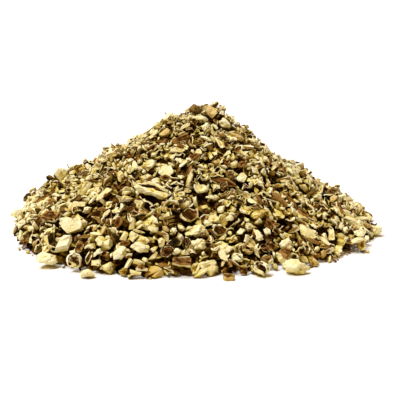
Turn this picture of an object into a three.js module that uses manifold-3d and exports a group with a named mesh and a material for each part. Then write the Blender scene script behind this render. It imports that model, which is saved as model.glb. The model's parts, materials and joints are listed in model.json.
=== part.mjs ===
// A heap of dried dandelion root, chopped into chips and poured out on a flat surface.
// The heap is one body of packed chips. The chips that stand out of it are pieces of their own,
// each lying in a hollow of the heap or flat beside its foot.
// Millimetres, +Z up, the origin at the middle of the foot.

import * as THREE from 'three';
import { mergeVertices } from 'three/addons/utils/BufferGeometryUtils.js';
import Module from 'manifold-3d';

// The heap: how far its foot reaches, how high it stands and how its flank runs.
const footRadius = 72;
const heapHeight = 47.5;
// The foot ends in a step about one chip high, which is higher towards its crest's direction.
const toe = { height: 3.6, rise: 2.3, crest: 190 };
const apexRound = 0.08; // share of the foot radius over which the top is rounded
// The share of the height by which the flank hangs under a straight cone, which is more towards its crest.
const flankSag = { mean: 0.055, rise: 0.03, crest: 0 };
const apexOffset = new THREE.Vector2(2, 0);
// Swells and hollows of the flank: where each is in plan, how far it spreads and how high it rises.
const swells = [
  { x: 21, y: 8, spread: 7, rise: 2.6 },
  { x: -14, y: 6, spread: 8, rise: -2 },
];
// Slow waves round the foot: how far each pushes it out, how many it has, and where its crest is.
const footWaves = [
  { reach: 3.5, count: 1, crest: 190 },
  { reach: 1.3, count: 2, crest: 174 },
  { reach: 2.2, count: 3, crest: 229 },
  { reach: 1, count: 4, crest: 231 },
];

// The mound's own facets, under the packed chips.
const moundSides = 24;
const moundRings = 6;

// The chips packed into the heap's surface.
const packedCount = 112;
const packedAtFoot = 24; // more of them, in a ring on the foot's edge
const packedSize = { least: 5.6, most: 9.6 };
const packedWidth = { least: 0.6, most: 0.9 }; // share of its length
const packedFlatness = { least: 0.42, most: 0.75 }; // thickness as a share of its length
const packedUneven = 0.13; // how far a corner is pulled out of place, as a share of the chip
const packedLean = 34; // degrees that a chip leans out of the slope, at most
const packedProud = 0.16; // share of its length that its middle stands out of the slope
const packedSunk = 0.2; // share of its thickness that it is sunk again
const flankEdge = 0.96; // the chips on the flank end at this share of the way to the foot
const toePlace = { share: 0.985, rise: 0.45 }; // the ring's place, and its share of the toe's height
const ringUneven = 0.25; // how far a chip of the ring strays, as a share of the chips' spacing

// A loose chip.
const bedGap = 0.3; // clear space round it
const looseProud = 0.18; // share of its thickness that its middle stands out of the slope
const restingProud = 0.46; // the same for one that lies on top of the others
// A packed chip is left out where it is nearer than these shares of the two chips' reach.
const keptClear = { loose: 0.6, packed: 0.4 };
const floorReach = 200; // the half side of the slab that trims the heap flat

// The viewpoint from which the chips are placed, which is the photograph's: a level horizon,
// looking down on the heap's axis. The picture is square.
const view = {
  distance: 420,
  elevation: 15,
  aimHeight: 9.5,
  pixelsPerMm: 2.43, // at the heap's axis
  centrePixel: 200,
};

// A loose chip: its form, what it is made of, the picture pixel of the place that it lies on, its length,
// width and thickness as they would look at the heap's axis, the angle of its length in the picture,
// anticlockwise from level, and how proud it lies.
const loose = (name, kind, stuff, pixel, size, turn, proud = looseProud) =>
  ({ name, kind, stuff, pixel, size, turn, proud });

// The loose chips on the flank that the picture shows.
const frontChips = [
  loose('apex_dark_chip', 'chunk', 'dark', [197, 111.6], [4.6, 4.4, 4.4], 20, restingProud),
  loose('apex_tan_cube', 'chunk', 'tan', [210, 114.5], [5.4, 4.4, 3.8], -12, restingProud),
  loose('curved_pale_strip', 'shell', 'pale', [200, 119], [6.6, 3.2, 2.4], -4),
  loose('upper_pale_chunk', 'lump', 'pale', [224, 125], [6.0, 5.0, 4.2], 10),
  loose('golden_sliver', 'lump', 'tan', [235, 137], [7.0, 3.4, 2.6], 4),
  loose('upper_bark_bar', 'splinter', 'bark', [180, 140], [7.8, 2.6, 2.4], 38),
  loose('upper_pale_bead', 'lump', 'pale', [206, 129], [4.6, 4.0, 3.4], 80),
  loose('left_tan_chunk', 'chunk', 'tan', [165, 135], [4.2, 3.6, 3.0], 25),
  loose('pale_disc', 'lump', 'pale', [149, 166], [5.2, 5.0, 2.8], -20),
  loose('bark_plank', 'flake', 'bark', [194, 159], [8.4, 3.8, 2.0], 47),
  loose('white_wedge', 'chunk', 'pale', [167, 174], [5.6, 4.4, 3.2], 35),
  loose('black_chip', 'flake', 'dark', [181, 177], [4.4, 3.8, 2.0], 0),
  loose('long_striped_strip', 'splinter', 'pale', [153, 192], [15.5, 6.4, 4.2], -36),
  loose('right_pale_leaf', 'flake', 'pale', [243, 154], [6.0, 3.6, 1.5], -52),
  loose('middle_bark_strip', 'splinter', 'bark', [225, 183], [10.6, 2.8, 2.2], -14),
  loose('middle_pale_chunk', 'chunk', 'pale', [242, 179], [4.8, 4.4, 3.2], 60),
  loose('pale_cupped_shell', 'shell', 'pale', [200, 189], [5.8, 4.6, 2.6], -15),
  loose('cupped_bark_shell', 'shell', 'bark', [189, 216], [8.2, 6.2, 3.0], 55),
  loose('pale_fan', 'flake', 'pale', [213, 219], [6.8, 4.8, 1.8], 62),
  loose('small_bark_shell', 'shell', 'bark', [219, 231], [6.6, 4.4, 2.6], 28),
  loose('knobbly_pale_lump', 'lump', 'pale', [195, 232], [8.4, 5.6, 5.0], 8),
  loose('flower_lump', 'lump', 'pale', [199, 246.5], [6.2, 5.8, 4.6], 80),
  loose('pale_hexagon', 'flake', 'pale', [179, 240], [5.8, 4.2, 1.9], 82),
  loose('front_left_pale_lump', 'lump', 'pale', [140, 249], [8.0, 5.6, 4.8], -8),
  loose('front_left_pale_egg', 'lump', 'pale', [120, 255], [6.8, 5.6, 5.0], 60),
  loose('bark_octagon', 'flake', 'bark', [167, 252], [7.0, 6.4, 2.0], 0),
  loose('front_bark_plank', 'chunk', 'bark', [182, 262], [8.0, 4.4, 3.0], -14),
  loose('almond_chip', 'shell', 'bark', [265, 249], [6.6, 3.4, 2.2], -34),
  loose('bark_and_pale_oval', 'lump', 'pale', [257, 236], [6.2, 3.8, 3.0], -72),
  loose('right_round_lump', 'lump', 'pale', [286, 246], [6.6, 5.0, 4.4], 8),
  loose('marbled_chunk', 'chunk', 'bark', [284, 257], [6.4, 5.6, 4.8], 0),
  loose('right_curved_shell', 'shell', 'pale', [307, 233], [8.4, 4.8, 3.0], -50),
  loose('right_bark_slab', 'flake', 'bark', [303, 216], [8.4, 5.0, 2.2], -18),
  loose('dark_knot', 'chunk', 'tan', [247, 250], [5.4, 4.4, 3.4], 0),
  loose('front_pale_lump', 'lump', 'pale', [225, 251], [5.8, 5.0, 3.8], 30),
  loose('pale_ring', 'lump', 'pale', [237, 258], [4.8, 3.8, 2.8], -10),
  loose('left_bark_block', 'chunk', 'bark', [45, 203], [6.4, 5.8, 3.8], 12),
  loose('left_bark_plank', 'chunk', 'bark', [53, 219], [9.4, 4.6, 3.4], -42),
  loose('left_pale_boulder', 'chunk', 'pale', [73, 228], [9.2, 6.2, 5.0], -14),
  loose('left_pale_block', 'chunk', 'pale', [65, 246], [8.0, 5.2, 4.4], 80),
  loose('hollow_shell', 'shell', 'pale', [74, 260], [8.0, 6.2, 3.8], 0),
  loose('square_pale_chip', 'flake', 'pale', [107, 245], [5.0, 4.6, 2.4], 40),
  loose('right_tan_slab', 'chunk', 'pale', [351, 225], [8.0, 5.2, 4.0], -24),
  loose('right_bark_flake', 'flake', 'bark', [348, 242], [7.6, 4.0, 1.8], -22),
];

// Loose chips that lie at the foot, with their undersides on the surface.
const floorChips = [
  loose('foot_large_oval', 'lump', 'pale', [296, 274], [11.0, 6.4, 6.0], 4),
  loose('foot_bead', 'lump', 'pale', [108, 274], [5.2, 5.0, 5.0], 0),
  loose('foot_dome_chip', 'shell', 'pale', [88, 278], [6.0, 4.8, 3.4], 0),
  loose('foot_triangle_chip', 'chunk', 'tan', [155, 277], [7.4, 5.0, 4.0], 8),
  loose('foot_knobbly_lump', 'lump', 'pale', [208, 275], [7.8, 6.2, 6.0], 0),
  loose('foot_cored_chip', 'chunk', 'pale', [262, 276], [6.0, 5.4, 5.2], 0),
  loose('foot_left_wedge', 'chunk', 'pale', [47, 267], [8.2, 6.0, 5.2], 20),
  loose('foot_front_flake', 'flake', 'tan', [229, 280], [5.2, 3.6, 1.8], -15),
  loose('foot_right_lump', 'lump', 'pale', [374, 236], [5.6, 4.6, 4.4], 12),
  loose('foot_left_lump', 'lump', 'pale', [18, 221], [5.2, 5.0, 5.2], 0),
];

// The rest of the loose chips lie round the sides and the back, which the picture doesn't show.
const backChips = [
  { kind: 'lump', stuff: 'pale', size: [6.4, 4.8, 4.0] },
  { kind: 'flake', stuff: 'bark', size: [6.8, 4.4, 1.6] },
  { kind: 'chunk', stuff: 'pale', size: [6.2, 4.8, 3.8] },
  { kind: 'splinter', stuff: 'bark', size: [9.0, 2.6, 2.2] },
  { kind: 'flake', stuff: 'pale', size: [6.6, 4.8, 2.0] },
];
const backArc = { from: 15, to: 165 }; // degrees about +Z, so that +Y is straight behind
const backSpread = { low: 0.42, high: 0.78, stray: 0.06 }; // shares of the way from the apex to the foot

// The chips' forms, as shares of their length, width and thickness.
const chunkForm = { waist: [0.92, 1.08], ends: [0.62, 0.9], uneven: 0.09 };
const lumpForm = { radius: 0.52, bedRadius: 0.64, uneven: 0.045 };
const flakeForm = { corners: 7, stray: 0.25, reach: [0.42, 0.54], uneven: 0.12 };
const shellForm = { wall: 0.45, halfArc: 58, steps: 4, uneven: 0.12 };
const splinterForm = { sides: 6, taper: 0.62, uneven: 0.05 };

const colours = { pale: 0xe6d7a2, tan: 0xc79a58, bark: 0x75492c, dark: 0x2f2216, heap: 0xb3965f };

const degrees = THREE.MathUtils.degToRad;
const up = new THREE.Vector3(0, 0, 1);

const wasm = await Module();
wasm.setup();

// A repeatable stream of numbers from 0 to 1.
function randomStream(seed) {
  let state = seed >>> 0;
  return () => {
    state = (state + 0x6d2b79f5) >>> 0;
    let t = state;
    t = Math.imul(t ^ (t >>> 15), t | 1);
    t ^= t + Math.imul(t ^ (t >>> 7), t | 61);
    return ((t ^ (t >>> 14)) >>> 0) / 4294967296;
  };
}

const between = (random, least, most) => least + (most - least) * random();

// How far the foot reaches from the origin in a direction given in radians.
function footReach(angle) {
  const push = footWaves.map((wave) => wave.reach * Math.cos(wave.count * (angle - degrees(wave.crest))));
  return push.reduce((sum, value) => sum + value, footRadius);
}

const toeHeight = (angle) => toe.height + toe.rise * Math.cos(angle - degrees(toe.crest));

// The height of the smooth heap over a place part of the way from the apex to the foot.
function flankHeight(angle, share) {
  const fall = (Math.hypot(share, apexRound) - apexRound) / (Math.hypot(1, apexRound) - apexRound);
  const sag = flankSag.mean + flankSag.rise * Math.cos(angle - degrees(flankSag.crest));
  const cone = 1 - fall - sag * 4 * share * (1 - share);
  return THREE.MathUtils.lerp(toeHeight(angle), heapHeight, cone);
}

const swellAt = (x, y) =>
  swells.reduce((sum, swell) => {
    const away = Math.hypot(x - swell.x, y - swell.y) / swell.spread;
    return sum + swell.rise * Math.exp(-away * away);
  }, 0);

// The surface point that lies a share of the way from the apex to the foot, in a direction.
function flankPoint(angle, share) {
  const reach = footReach(angle);
  const x = THREE.MathUtils.lerp(apexOffset.x, reach * Math.cos(angle), share);
  const y = THREE.MathUtils.lerp(apexOffset.y, reach * Math.sin(angle), share);
  return new THREE.Vector3(x, y, flankHeight(angle, share) + swellAt(x, y));
}

// The height of the smooth heap over a place in plan, which is 0 outside the foot. The direction and the
// share of the way from the apex to the foot depend on each other, so they are found in a few rounds.
function heightAt(x, y) {
  let share = Math.hypot(x, y) / footRadius;
  let angle = 0;
  for (let round = 0; round < 6; round += 1) {
    const dx = x - apexOffset.x * (1 - share);
    const dy = y - apexOffset.y * (1 - share);
    angle = Math.atan2(dy, dx);
    share = Math.hypot(dx, dy) / footReach(angle);
  }
  return share < 1 ? flankHeight(angle, share) + swellAt(x, y) : 0;
}

// The outward normal of the smooth heap, from heights a little way to each side.
function normalAt(x, y) {
  const step = 1.5;
  const slopeX = (heightAt(x + step, y) - heightAt(x - step, y)) / (2 * step);
  const slopeY = (heightAt(x, y + step) - heightAt(x, y - step)) / (2 * step);
  return new THREE.Vector3(-slopeX, -slopeY, 1).normalize();
}

const lookDown = degrees(view.elevation);
const viewBack = new THREE.Vector3(0, -Math.cos(lookDown), Math.sin(lookDown));
const viewRight = new THREE.Vector3(1, 0, 0);
const viewUp = new THREE.Vector3().crossVectors(viewBack, viewRight);
const viewPoint = new THREE.Vector3(0, 0, view.aimHeight).addScaledVector(viewBack, view.distance);

// The line of sight through a pixel of the picture.
function sightThrough(pixel) {
  const focus = view.pixelsPerMm * view.distance;
  return viewBack
    .clone()
    .negate()
    .addScaledVector(viewRight, (pixel[0] - view.centrePixel) / focus)
    .addScaledVector(viewUp, (view.centrePixel - pixel[1]) / focus)
    .normalize();
}

// The first point of the heap or the floor along a line of sight.
function seenPoint(pixel, floorOnly) {
  const sight = sightThrough(pixel);
  const step = 0.25;
  const point = viewPoint.clone().addScaledVector(sight, view.distance * 0.6);
  while (point.z > 0 && (floorOnly || point.z > heightAt(point.x, point.y))) {
    point.addScaledVector(sight, step);
    if (point.y > footRadius) break;
  }
  return point;
}

// One vertex at each corner, so that a move keeps the mesh closed.
function shared(geometry) {
  geometry.deleteAttribute('normal');
  geometry.deleteAttribute('uv');
  return mergeVertices(geometry, 1e-4);
}

// Moves every vertex by its own small random step.
function roughen(geometry, amount, random) {
  const position = geometry.getAttribute('position');
  for (let i = 0; i < position.count; i += 1) {
    const [dx, dy, dz] = [0, 1, 2].map(() => (random() - 0.5) * 2 * amount);
    position.setXYZ(i, position.getX(i) + dx, position.getY(i) + dy, position.getZ(i) + dz);
  }
  return geometry;
}

// A chopped block, as wide as it is long or less, with its corners knocked in.
function chunk([length, width, thick], random) {
  const geometry = shared(new THREE.BoxGeometry(1, 1, 1, 2, 1, 1));
  const position = geometry.getAttribute('position');
  for (let i = 0; i < position.count; i += 1) {
    const atEnd = Math.abs(position.getX(i)) > 0.25;
    const squeeze = between(random, ...(atEnd ? chunkForm.ends : chunkForm.waist));
    position.setY(i, position.getY(i) * squeeze);
    position.setZ(i, position.getZ(i) * squeeze);
  }
  return roughen(geometry, chunkForm.uneven, random).scale(length, width, thick);
}

// A rounded lump.
function lump([length, width, thick], random) {
  const geometry = shared(new THREE.IcosahedronGeometry(lumpForm.radius, 1));
  return roughen(geometry, lumpForm.uneven, random).scale(length, width, thick);
}

// A flat flake with an uneven outline.
function flake([length, width, thick], random) {
  const { corners, stray } = flakeForm;
  const outline = new THREE.Shape();
  for (let i = 0; i < corners; i += 1) {
    const angle = ((i + between(random, -stray, stray)) / corners) * 2 * Math.PI;
    const reach = between(random, ...flakeForm.reach);
    const point = [length * reach * Math.cos(angle), width * reach * Math.sin(angle)];
    if (i === 0) outline.moveTo(...point);
    else outline.lineTo(...point);
  }
  outline.closePath();
  const geometry = new THREE.ExtrudeGeometry(outline, { depth: thick, bevelEnabled: false });
  return roughen(shared(geometry.translate(0, 0, -thick / 2)), thick * flakeForm.uneven, random);
}

// A cupped flake: an arc of even thickness, its hollow side down.
function shell([length, width, thick], random) {
  const wall = thick * shellForm.wall;
  const half = degrees(shellForm.halfArc);
  const outer = length / 2 / Math.sin(half);
  const outline = new THREE.Shape();
  outline.absarc(0, 0, outer, Math.PI / 2 - half, Math.PI / 2 + half, false);
  outline.absarc(0, 0, outer - wall, Math.PI / 2 + half, Math.PI / 2 - half, true);
  outline.closePath();
  const along = { depth: width, bevelEnabled: false, curveSegments: shellForm.steps };
  const geometry = new THREE.ExtrudeGeometry(outline, along);
  geometry.translate(0, 0, -width / 2).rotateX(Math.PI / 2);
  geometry.computeBoundingBox();
  const { min, max } = geometry.boundingBox;
  geometry.translate(0, 0, -(min.z + max.z) / 2).scale(1, 1, thick / (max.z - min.z));
  return roughen(shared(geometry), wall * shellForm.uneven, random);
}

// A long chip, split off along the grain, thinner at both ends.
function splinter([length, width, thick], random) {
  const rod = new THREE.CylinderGeometry(0.5, 0.5, 1, splinterForm.sides, 3);
  const geometry = shared(rod.rotateZ(Math.PI / 2));
  const position = geometry.getAttribute('position');
  for (let i = 0; i < position.count; i += 1) {
    const along = Math.abs(position.getX(i)) * 2;
    const taper = 1 - splinterForm.taper * along ** 3;
    position.setY(i, position.getY(i) * taper);
    position.setZ(i, position.getZ(i) * taper);
  }
  return roughen(geometry, splinterForm.uneven, random).scale(length, width, thick);
}

const shapes = { chunk, lump, flake, shell, splinter };

// The hollow that a chip lies in, before it is placed: a plainer form that holds the chip's.
function bedFor(kind, chip, size) {
  const [length, width, thick] = size.map((value) => value + 2 * bedGap);
  if (kind === 'lump') {
    return shared(new THREE.IcosahedronGeometry(lumpForm.bedRadius, 0)).scale(length, width, thick);
  }
  if (kind === 'shell' || kind === 'splinter') return shared(new THREE.BoxGeometry(length, width, thick));
  return chip.clone().scale(length / size[0], width / size[1], thick / size[2]);
}

// Turns and places a chip: its thickness along the out direction, its length along the other.
function lay(geometry, place, out, along) {
  const z = out.clone().normalize();
  const x = along.clone().addScaledVector(z, -along.dot(z)).normalize();
  const y = new THREE.Vector3().crossVectors(z, x);
  const frame = new THREE.Matrix4().makeBasis(x, y, z).setPosition(place);
  return geometry.applyMatrix4(frame);
}

// The direction whose image in the picture has a given angle from level.
function alongInPicture(turn) {
  return viewRight
    .clone()
    .multiplyScalar(Math.cos(degrees(turn)))
    .addScaledVector(viewUp, Math.sin(degrees(turn)));
}

// A closed geometry as a solid that can be joined and cut.
function solidOf(geometry) {
  const merged = mergeVertices(new THREE.BufferGeometry().copy(geometry), 1e-3);
  const flat = merged.index ? merged : mergeVertices(merged);
  const vertProperties = new Float32Array(flat.getAttribute('position').array);
  const triVerts = new Uint32Array(flat.index.array);
  return new wasm.Manifold(new wasm.Mesh({ numProp: 3, vertProperties, triVerts }));
}

// A solid's surface as a geometry.
function geometryOf(solid) {
  const mesh = solid.getMesh();
  return new THREE.BufferGeometry()
    .setAttribute('position', new THREE.BufferAttribute(mesh.vertProperties, 3))
    .setIndex(new THREE.BufferAttribute(mesh.triVerts, 1));
}

// The smooth mound under the packed chips.
function mound() {
  const profile = [new THREE.Vector2(0, 0), new THREE.Vector2(1, 0)];
  for (let ring = moundRings; ring >= 0; ring -= 1) profile.push(new THREE.Vector2(ring / moundRings, 1));
  const geometry = shared(new THREE.LatheGeometry(profile, moundSides).rotateX(Math.PI / 2));
  const position = geometry.getAttribute('position');
  for (let i = 0; i < position.count; i += 1) {
    const share = Math.min(1, Math.hypot(position.getX(i), position.getY(i)));
    const angle = Math.atan2(position.getY(i), position.getX(i));
    const point = flankPoint(angle, share);
    const top = position.getZ(i) > 0.5;
    position.setXYZ(i, point.x, point.y, top ? point.z : 0);
  }
  return geometry;
}

// Where each packed chip lies: evenly over the flank in a golden spiral, then round the foot.
function packedPlace(index, random) {
  if (index < packedCount) {
    const golden = Math.PI * (3 - Math.sqrt(5));
    return flankPoint(index * golden, flankEdge * Math.sqrt((index + 0.5) / packedCount));
  }
  const stray = between(random, -ringUneven, ringUneven);
  const angle = ((index - packedCount + stray) / packedAtFoot) * 2 * Math.PI;
  return flankPoint(angle, toePlace.share).setZ(toeHeight(angle) * toePlace.rise);
}

// One chip of those packed into the surface: a block with its eight corners pulled about.
function packedChip(index, random) {
  const place = packedPlace(index, random);
  const length = between(random, packedSize.least, packedSize.most);
  const thick = length * between(random, packedFlatness.least, packedFlatness.most);
  const geometry = roughen(shared(new THREE.BoxGeometry(1, 1, 1)), packedUneven, random);
  geometry.scale(length, length * between(random, packedWidth.least, packedWidth.most), thick);
  const slope = normalAt(place.x, place.y);
  const spin = 2 * Math.PI * random();
  const lean = Math.tan(degrees(packedLean) * random());
  const out = slope.clone().addScaledVector(new THREE.Vector3(Math.cos(spin), Math.sin(spin), 0), lean);
  const along = new THREE.Vector3(Math.cos(2 * spin), Math.sin(2 * spin), random() - 0.5);
  place.addScaledVector(slope, length * packedProud - thick * packedSunk);
  return { place, reach: length / 2, geometry: lay(geometry, place, out, along) };
}

// A loose chip and its bed, laid in place. A chip on the floor, or one that would reach below it, is
// moved up or down until it rests there.
function looseChip(spec, place, out, along, onFloor, random) {
  const chip = shapes[spec.kind](spec.size, random);
  const bed = lay(bedFor(spec.kind, chip, spec.size), place, out, along);
  const geometry = lay(chip, place, out, along);
  geometry.computeBoundingBox();
  const low = geometry.boundingBox.min.z;
  const lift = onFloor || low < 0 ? -low : 0;
  geometry.translate(0, 0, lift);
  bed.translate(0, 0, lift);
  return { ...spec, place, reach: spec.size[0] / 2, geometry, bed };
}

// A chip nearer to the viewpoint than the heap's axis is smaller than it looks.
function looseFrontChip(spec, index, onFloor) {
  const place = seenPoint(spec.pixel, onFloor);
  const nearness = place.distanceTo(viewPoint) / view.distance;
  const size = spec.size.map((value) => value * nearness);
  const out = onFloor ? up.clone() : normalAt(place.x, place.y);
  place.addScaledVector(out, size[2] * (onFloor ? 0.5 : spec.proud));
  const random = randomStream(700 + index * 13);
  return looseChip({ ...spec, size }, place, out, alongInPicture(spec.turn), onFloor, random);
}

function looseBackChip(index) {
  const random = randomStream(9000 + index * 17);
  const kind = backChips[index];
  const angle = degrees(THREE.MathUtils.lerp(backArc.from, backArc.to, (index + 0.5) / backChips.length));
  const share = index % 2 ? backSpread.low : backSpread.high;
  const place = flankPoint(angle, share + between(random, -backSpread.stray, backSpread.stray));
  const out = normalAt(place.x, place.y);
  place.addScaledVector(out, kind.size[2] * looseProud);
  const along = new THREE.Vector3(Math.cos(index * 2.1), Math.sin(index * 2.1), 0.2);
  const name = `back_${kind.stuff}_${kind.kind}`;
  return looseChip({ ...kind, name }, place, out, along, false, random);
}

const looseChips = [
  ...frontChips.map((spec, i) => looseFrontChip(spec, i, false)),
  ...floorChips.map((spec, i) => looseFrontChip(spec, frontChips.length + i, true)),
  ...backChips.map((_, i) => looseBackChip(i)),
];

// The packed heap: the mound, every packed chip that leaves the loose ones clear, and their beds cut out.
function heapGeometry() {
  const random = randomStream(43);
  const packed = Array.from({ length: packedCount + packedAtFoot }, (_, i) => packedChip(i, random));
  const apart = (chip, other) => other.reach * keptClear.loose + chip.reach * keptClear.packed;
  const clear = (chip) =>
    looseChips.every((other) => other.place.distanceTo(chip.place) > apart(chip, other));
  let heap = solidOf(mound());
  for (const chip of packed.filter(clear)) heap = heap.add(solidOf(chip.geometry));
  for (const chip of looseChips) heap = heap.subtract(solidOf(chip.bed));
  const slab = new THREE.BoxGeometry(2 * floorReach, 2 * floorReach, floorReach);
  heap = heap.subtract(solidOf(shared(slab.translate(0, 0, -floorReach / 2))));
  const bodies = heap.decompose().sort((a, b) => b.volume() - a.volume());
  return geometryOf(bodies[0]);
}

function piece(name, geometry, stuff) {
  const material = new THREE.MeshStandardMaterial({ color: colours[stuff], roughness: 0.85, metalness: 0 });
  const mesh = new THREE.Mesh(geometry, material);
  mesh.name = name;
  return mesh;
}

const pieces = new THREE.Group();
pieces.add(piece('packed_heap', heapGeometry(), 'heap'));
for (const chip of looseChips) pieces.add(piece(chip.name, chip.geometry, chip.stuff));

// The origin goes to the middle of everything, on the surface that it rests on.
const middle = new THREE.Box3().setFromObject(pieces).getCenter(new THREE.Vector3());
pieces.position.set(-middle.x, -middle.y, 0);

const dandelionRoot = new THREE.Group();
dandelionRoot.add(pieces);

export default dandelionRoot;
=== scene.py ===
import json
import math
import random

import bmesh
import bpy
import numpy as np
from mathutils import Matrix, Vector, noise
from mathutils.bvhtree import BVHTree


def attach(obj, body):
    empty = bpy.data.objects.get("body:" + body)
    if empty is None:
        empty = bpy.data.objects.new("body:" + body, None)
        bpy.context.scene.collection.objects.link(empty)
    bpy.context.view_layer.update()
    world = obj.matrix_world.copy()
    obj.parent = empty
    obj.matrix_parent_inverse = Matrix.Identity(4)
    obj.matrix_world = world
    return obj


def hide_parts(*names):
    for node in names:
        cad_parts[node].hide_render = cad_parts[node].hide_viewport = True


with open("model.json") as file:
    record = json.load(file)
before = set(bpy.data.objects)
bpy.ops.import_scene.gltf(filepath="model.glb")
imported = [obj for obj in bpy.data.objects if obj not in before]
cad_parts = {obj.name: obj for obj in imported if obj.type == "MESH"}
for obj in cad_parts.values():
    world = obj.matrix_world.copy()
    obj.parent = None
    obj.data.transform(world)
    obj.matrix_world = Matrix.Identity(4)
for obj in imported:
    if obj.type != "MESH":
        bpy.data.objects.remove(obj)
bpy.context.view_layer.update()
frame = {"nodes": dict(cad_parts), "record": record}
print("frame loaded:", len(frame["nodes"]), "nodes")

mm = 0.001  # the frame is in metres, and every size here is in millimetres
noise.seed_set(5)  # its vector noise is otherwise another one at each run


# Camera, floor and light

photoCamera = {
    "aim": (2.038, 0.164, 9.5),  # the point that falls in the middle of the picture
    "distance": 420,
    "elevation": 15,  # degrees that it looks down
    "pixelsPerMm": 2.43,  # at the aim
    "pictureWidth": 400,
    "sensorWidth": 36,
}

studio = {
    "fill": 0.22,  # light from all round
    "fillColour": "FFB85C",  # warm, as light that other chips throw back
    "beyond": 1.0,  # how bright the camera sees the world past the floor
    "beyondColour": "FFFFFF",
    "floorColour": "F4F4F4",
    "floorRoughness": 0.9, "floorGloss": 0.1,
    "floorSize": 6000,
    "suns": [
        # name, the way to it, how wide it is in degrees, strength
        ("overheadPanel", (-0.2, 0.1, 1), 40, 2.4),
        ("keyLamp", (-0.5, -0.4, 1), 9, 1.9),
    ],
}


def linearColour(hexCode):
    parts = [int(hexCode[i:i + 2], 16) / 255 for i in (0, 2, 4)]
    linear = [c / 12.92 if c <= 0.04045 else ((c + 0.055) / 1.055) ** 2.4 for c in parts]
    return (*linear, 1.0)


def setStops(ramp, stops):  # each stop is its position and its colour
    for element, (position, hexCode) in zip(ramp.elements, (stops[0], stops[-1])):
        element.position = position
        element.color = linearColour(hexCode)
    for position, hexCode in stops[1:-1]:
        ramp.elements.new(position).color = linearColour(hexCode)


# Settings are a node's sockets, by name or number, its properties, or the stops of its colour ramp
def addNode(tree, kind, settings=None, links=None):
    node = tree.nodes.new(kind)
    for name, value in (settings or {}).items():
        if name == "stops":
            setStops(node.color_ramp, value)
        elif isinstance(name, int) or name in node.inputs:
            node.inputs[name].default_value = value
        else:
            setattr(node, name, value)
    for name, source in (links or {}).items():
        tree.links.new(source, node.inputs[name])
    return node


def newMaterial(name):
    material = bpy.data.materials.new(name)
    material.use_nodes = True
    material.node_tree.nodes.clear()
    return material, material.node_tree


def makeCamera(look):
    data = bpy.data.cameras.new("photoCamera")
    data.sensor_width = look["sensorWidth"]
    data.lens = look["pixelsPerMm"] * look["distance"] / look["pictureWidth"] * look["sensorWidth"]
    data.clip_start = 0.01  # metres
    camera = bpy.data.objects.new("photoCamera", data)
    bpy.context.scene.collection.objects.link(camera)
    down = math.radians(look["elevation"])
    back = Vector((0, -math.cos(down), math.sin(down)))
    camera.location = (Vector(look["aim"]) + back * look["distance"]) * mm
    camera.rotation_euler = (math.pi / 2 - down, 0, 0)
    bpy.context.scene.camera = camera


def makeStudio(look):
    world = bpy.data.worlds.new("studioWorld")
    world.use_nodes = True
    tree = world.node_tree
    tree.nodes.clear()
    path = addNode(tree, "ShaderNodeLightPath")
    strength = addNode(tree, "ShaderNodeMath", {
        "operation": "MULTIPLY_ADD", 1: look["beyond"] - look["fill"], 2: look["fill"],
    }, {0: path.outputs["Is Camera Ray"]})
    tint = addNode(tree, "ShaderNodeMix", {
        "data_type": "RGBA", 6: linearColour(look["fillColour"]), 7: linearColour(look["beyondColour"]),
    }, {"Factor": path.outputs["Is Camera Ray"]})
    background = addNode(tree, "ShaderNodeBackground", None,
                         {"Color": tint.outputs[2], "Strength": strength.outputs[0]})
    addNode(tree, "ShaderNodeOutputWorld", None, {"Surface": background.outputs[0]})
    bpy.context.scene.world = world
    for name, way, angle, power in look["suns"]:
        data = bpy.data.lights.new(name, "SUN")
        data.angle = math.radians(angle)
        data.energy = power
        light = bpy.data.objects.new(name, data)
        bpy.context.scene.collection.objects.link(light)
        light.rotation_euler = (-Vector(way)).to_track_quat("-Z", "Y").to_euler()
    bm = bmesh.new()
    bmesh.ops.create_grid(bm, x_segments=1, y_segments=1, size=look["floorSize"] / 2 * mm)
    mesh = bpy.data.meshes.new("floor")
    bm.to_mesh(mesh)
    bm.free()
    floor = bpy.data.objects.new("floor", mesh)
    bpy.context.scene.collection.objects.link(floor)
    material, tree = newMaterial("whitePaperSweep")  # matt paper: no gloss, and soft shadows show on it
    shader = addNode(tree, "ShaderNodeBsdfPrincipled", {
        "Base Color": linearColour(look["floorColour"]),
        "Roughness": look["floorRoughness"], "Specular IOR Level": look["floorGloss"],
    })
    addNode(tree, "ShaderNodeOutputMaterial", None, {"Surface": shader.outputs["BSDF"]})
    mesh.materials.append(material)


makeCamera(photoCamera)
makeStudio(studio)
bpy.context.scene.view_settings.view_transform = "Standard"
print("camera, floor and light made")


# Chip forms. Each is modelled about 2 units long, and is scaled to a chip's own size later.
# Its vertices carry how much bark covers them, as skin: 1 on bark, 0 on bare pith.

def startForm():
    bm = bmesh.new()
    return bm, bm.verts.layers.float.new("skin")


def cutAway(bm, point, normal, closed=True):
    parts = bm.verts[:] + bm.edges[:] + bm.faces[:]
    cut = bmesh.ops.bisect_plane(bm, geom=parts, plane_co=point, plane_no=normal, clear_outer=True)
    rim = [part for part in cut["geom_cut"] if isinstance(part, bmesh.types.BMEdge)]
    if closed and rim:
        bmesh.ops.edgeloop_fill(bm, edges=rim)


def anyDirection(rng):  # all ways are as likely, because what falls outside a ball is drawn again
    while True:
        way = Vector([rng.uniform(-1, 1) for _ in range(3)])
        if 0.2 < way.length < 1:
            return way.normalized()


def anyShift(rng):  # to another part of the noise, so that each form differs
    return Vector([rng.uniform(0, 60) for _ in range(3)])


# Bark on the side that faces that way, from the share start of the form's reach, and full from halfway on
def coverSide(bm, skin, way, start):
    furthest = max(vert.co @ way for vert in bm.verts)
    for vert in bm.verts:
        vert[skin] = max(vert[skin], min(1, max(0, (vert.co @ way / furthest - start) / (1 - start) * 2)))


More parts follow.
